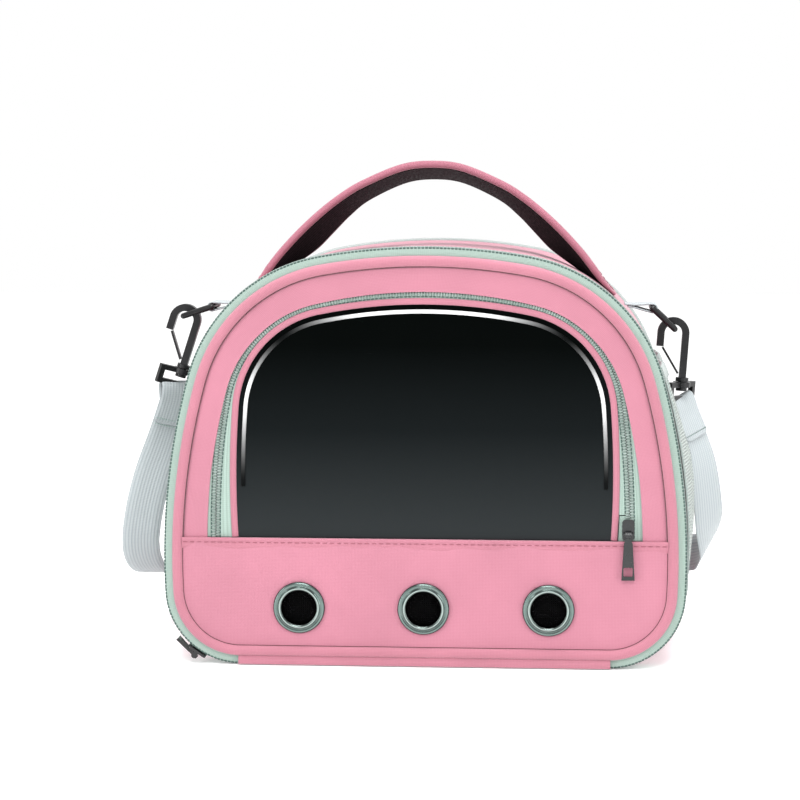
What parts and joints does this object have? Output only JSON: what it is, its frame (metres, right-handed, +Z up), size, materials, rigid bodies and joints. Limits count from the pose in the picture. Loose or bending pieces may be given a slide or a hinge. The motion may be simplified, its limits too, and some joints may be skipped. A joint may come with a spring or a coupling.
{
  "type": "pet carrier bag",
  "caption": "Soft domed pet carrier with a zipped front door, smoked window flap, vent eyelets, top handle, mesh side pockets and clip-on shoulder strap.",
  "frame": {"origin": "centre of the flat base, halfway through the body's depth, on the floor", "axes": "+X to the bag's right as seen from the front, the front faces -Y, +Z up"},
  "size_m": [0.3874, 0.2354, 0.3156],
  "materials": {
    "pink_fabric": "woven polyester, matt",
    "mint_tape": "woven zip tape",
    "green_coil": "nylon zip coil",
    "grey_binding": "elastic and piping",
    "pale_mesh": "stretch mesh",
    "grey_webbing": "ribbed webbing",
    "black_webbing": "ribbed webbing",
    "black_plastic": "satin acetal",
    "gunmetal": "dark nickel plate",
    "black_metal": "painted die casting",
    "dark_mesh": "air mesh",
    "smoked_vinyl": "smoked clear vinyl, opaque at this thickness",
    "board": "polyethylene stiffener",
    "pad_fleece": "fleece pad"
  },
  "bodies": {
    "bag": {"gusset": "pink_fabric", "base_panel": "pink_fabric", "back_panel": "pink_fabric", "back_piping": "grey_binding", "gusset_zip_coil": "green_coil", "gusset_zip_tape": "mint_tape", "base_board": "board", "left_pocket": "pale_mesh", "left_pocket_hem": "grey_binding", "right_pocket": "pale_mesh", "right_pocket_hem": "grey_binding", "left_ring_tab": "grey_webbing", "right_ring_tab": "grey_webbing", "left_handle_patch": "pink_fabric", "right_handle_patch": "pink_fabric", "left_handle_leg": "pink_fabric", "right_handle_leg": "pink_fabric", "left_hook_base": "black_plastic", "right_hook_base": "black_plastic", "shoulder_strap": "grey_webbing", "strap_adjuster": "black_plastic"},
    "pad": {"floor_pad": "pad_fleece"},
    "front_door": {"door_panel": "pink_fabric", "lower_panel": "pink_fabric", "lower_panel_hem": "pink_fabric", "door_border": "pink_fabric", "door_zip_coil": "green_coil", "door_zip_tape": "mint_tape", "hinge_strip": "pink_fabric", "left_eyelet": "gunmetal", "centre_eyelet": "gunmetal", "right_eyelet": "gunmetal", "eyelet_washers": "gunmetal", "vent_mesh": "dark_mesh", "window_outer_coil": "green_coil", "window_outer_tape": "mint_tape"},
    "window_flap": {"window_pane": "smoked_vinyl", "window_border": "pink_fabric", "window_inner_coil": "green_coil", "window_inner_tape": "mint_tape"},
    "window_slider": {"window_slider": "gunmetal"},
    "window_pull": {"window_pull": "gunmetal"},
    "door_slider": {"door_slider": "black_metal"},
    "door_pull": {"door_pull": "black_metal"},
    "handle": {"handle_cover": "pink_fabric", "handle_webbing": "black_webbing"},
    "left_ring": {"left_ring": "black_plastic"},
    "right_ring": {"right_ring": "black_plastic"},
    "left_hook": {"left_hook": "black_plastic"},
    "right_hook": {"right_hook": "black_plastic"},
    "left_gate": {"left_hook_gate": "black_plastic"},
    "right_gate": {"right_hook_gate": "black_plastic"}
  },
  "joints": [
    {"name": "door_hinge", "type": "hinge", "parent": "bag", "child": "front_door", "pos_m": [0, -0.0912, 0.0004], "axis": [1, 0, 0], "range_deg": [0, 82]},
    {"name": "window_hinge", "type": "hinge", "parent": "front_door", "child": "window_flap", "pos_m": [0, -0.091, 0.0809], "axis": [1, 0, 0], "range_deg": [0, 160]},
    {"name": "window_zip", "type": "hinge", "parent": "front_door", "child": "window_slider", "pos_m": [-0.513, -0.0881, 0.084], "axis": [0, -1, 0], "range_deg": [0, 6]},
    {"name": "window_pull_swing", "type": "hinge", "parent": "window_slider", "child": "window_pull", "pos_m": [0.12699, -0.0924, 0.085], "axis": [-1, 0, 0], "range_deg": [0, 150]},
    {"name": "door_zip", "type": "hinge", "parent": "bag", "child": "door_slider", "pos_m": [-0.11553, -0.0841, 0.048], "axis": [0, 1, 0], "range_deg": [0, 45]},
    {"name": "door_pull_swing", "type": "hinge", "parent": "door_slider", "child": "door_pull", "pos_m": [-0.14515, -0.0841, 0.0049], "axis": [0, -1, 0], "range_deg": [0, 45]},
    {"name": "handle_tilt", "type": "hinge", "parent": "bag", "child": "handle", "pos_m": [0, 0, 0.25], "axis": [1, 0, 0], "range_deg": [-25, 51], "deforming": ["left_handle_leg", "right_handle_leg"]},
    {"name": "pad_lift", "type": "slide", "parent": "bag", "child": "pad", "axis": [0, 0, 1], "range_m": [0, 0.12]},
    {"name": "left_ring_swing", "type": "hinge", "parent": "bag", "child": "left_ring", "pos_m": [-0.1433, 0, 0.221], "axis": [0, -1, 0], "range_deg": [0, 10]},
    {"name": "right_ring_swing", "type": "hinge", "parent": "bag", "child": "right_ring", "pos_m": [0.1433, 0, 0.221], "axis": [0, 1, 0], "range_deg": [0, 10]},
    {"name": "left_hook_swivel", "type": "hinge", "parent": "bag", "child": "left_hook", "pos_m": [-0.16459, 0, 0.17988], "axis": [0.309, 0, 0.9511], "range_deg": [-15, 15]},
    {"name": "right_hook_swivel", "type": "hinge", "parent": "bag", "child": "right_hook", "pos_m": [0.16293, 0, 0.17303], "axis": [0.0698, 0, 0.9976], "range_deg": [-15, 15]},
    {"name": "left_gate_open", "type": "hinge", "parent": "left_hook", "child": "left_gate", "pos_m": [-0.16608, 0, 0.18562], "axis": [0, 1, 0], "range_deg": [0, 26], "stiffness_Nm_per_rad": 0.02},
    {"name": "right_gate_open", "type": "hinge", "parent": "right_hook", "child": "right_gate", "pos_m": [0.16008, 0, 0.17824], "axis": [0, 1, 0], "range_deg": [0, 26], "stiffness_Nm_per_rad": 0.02}
  ]
}
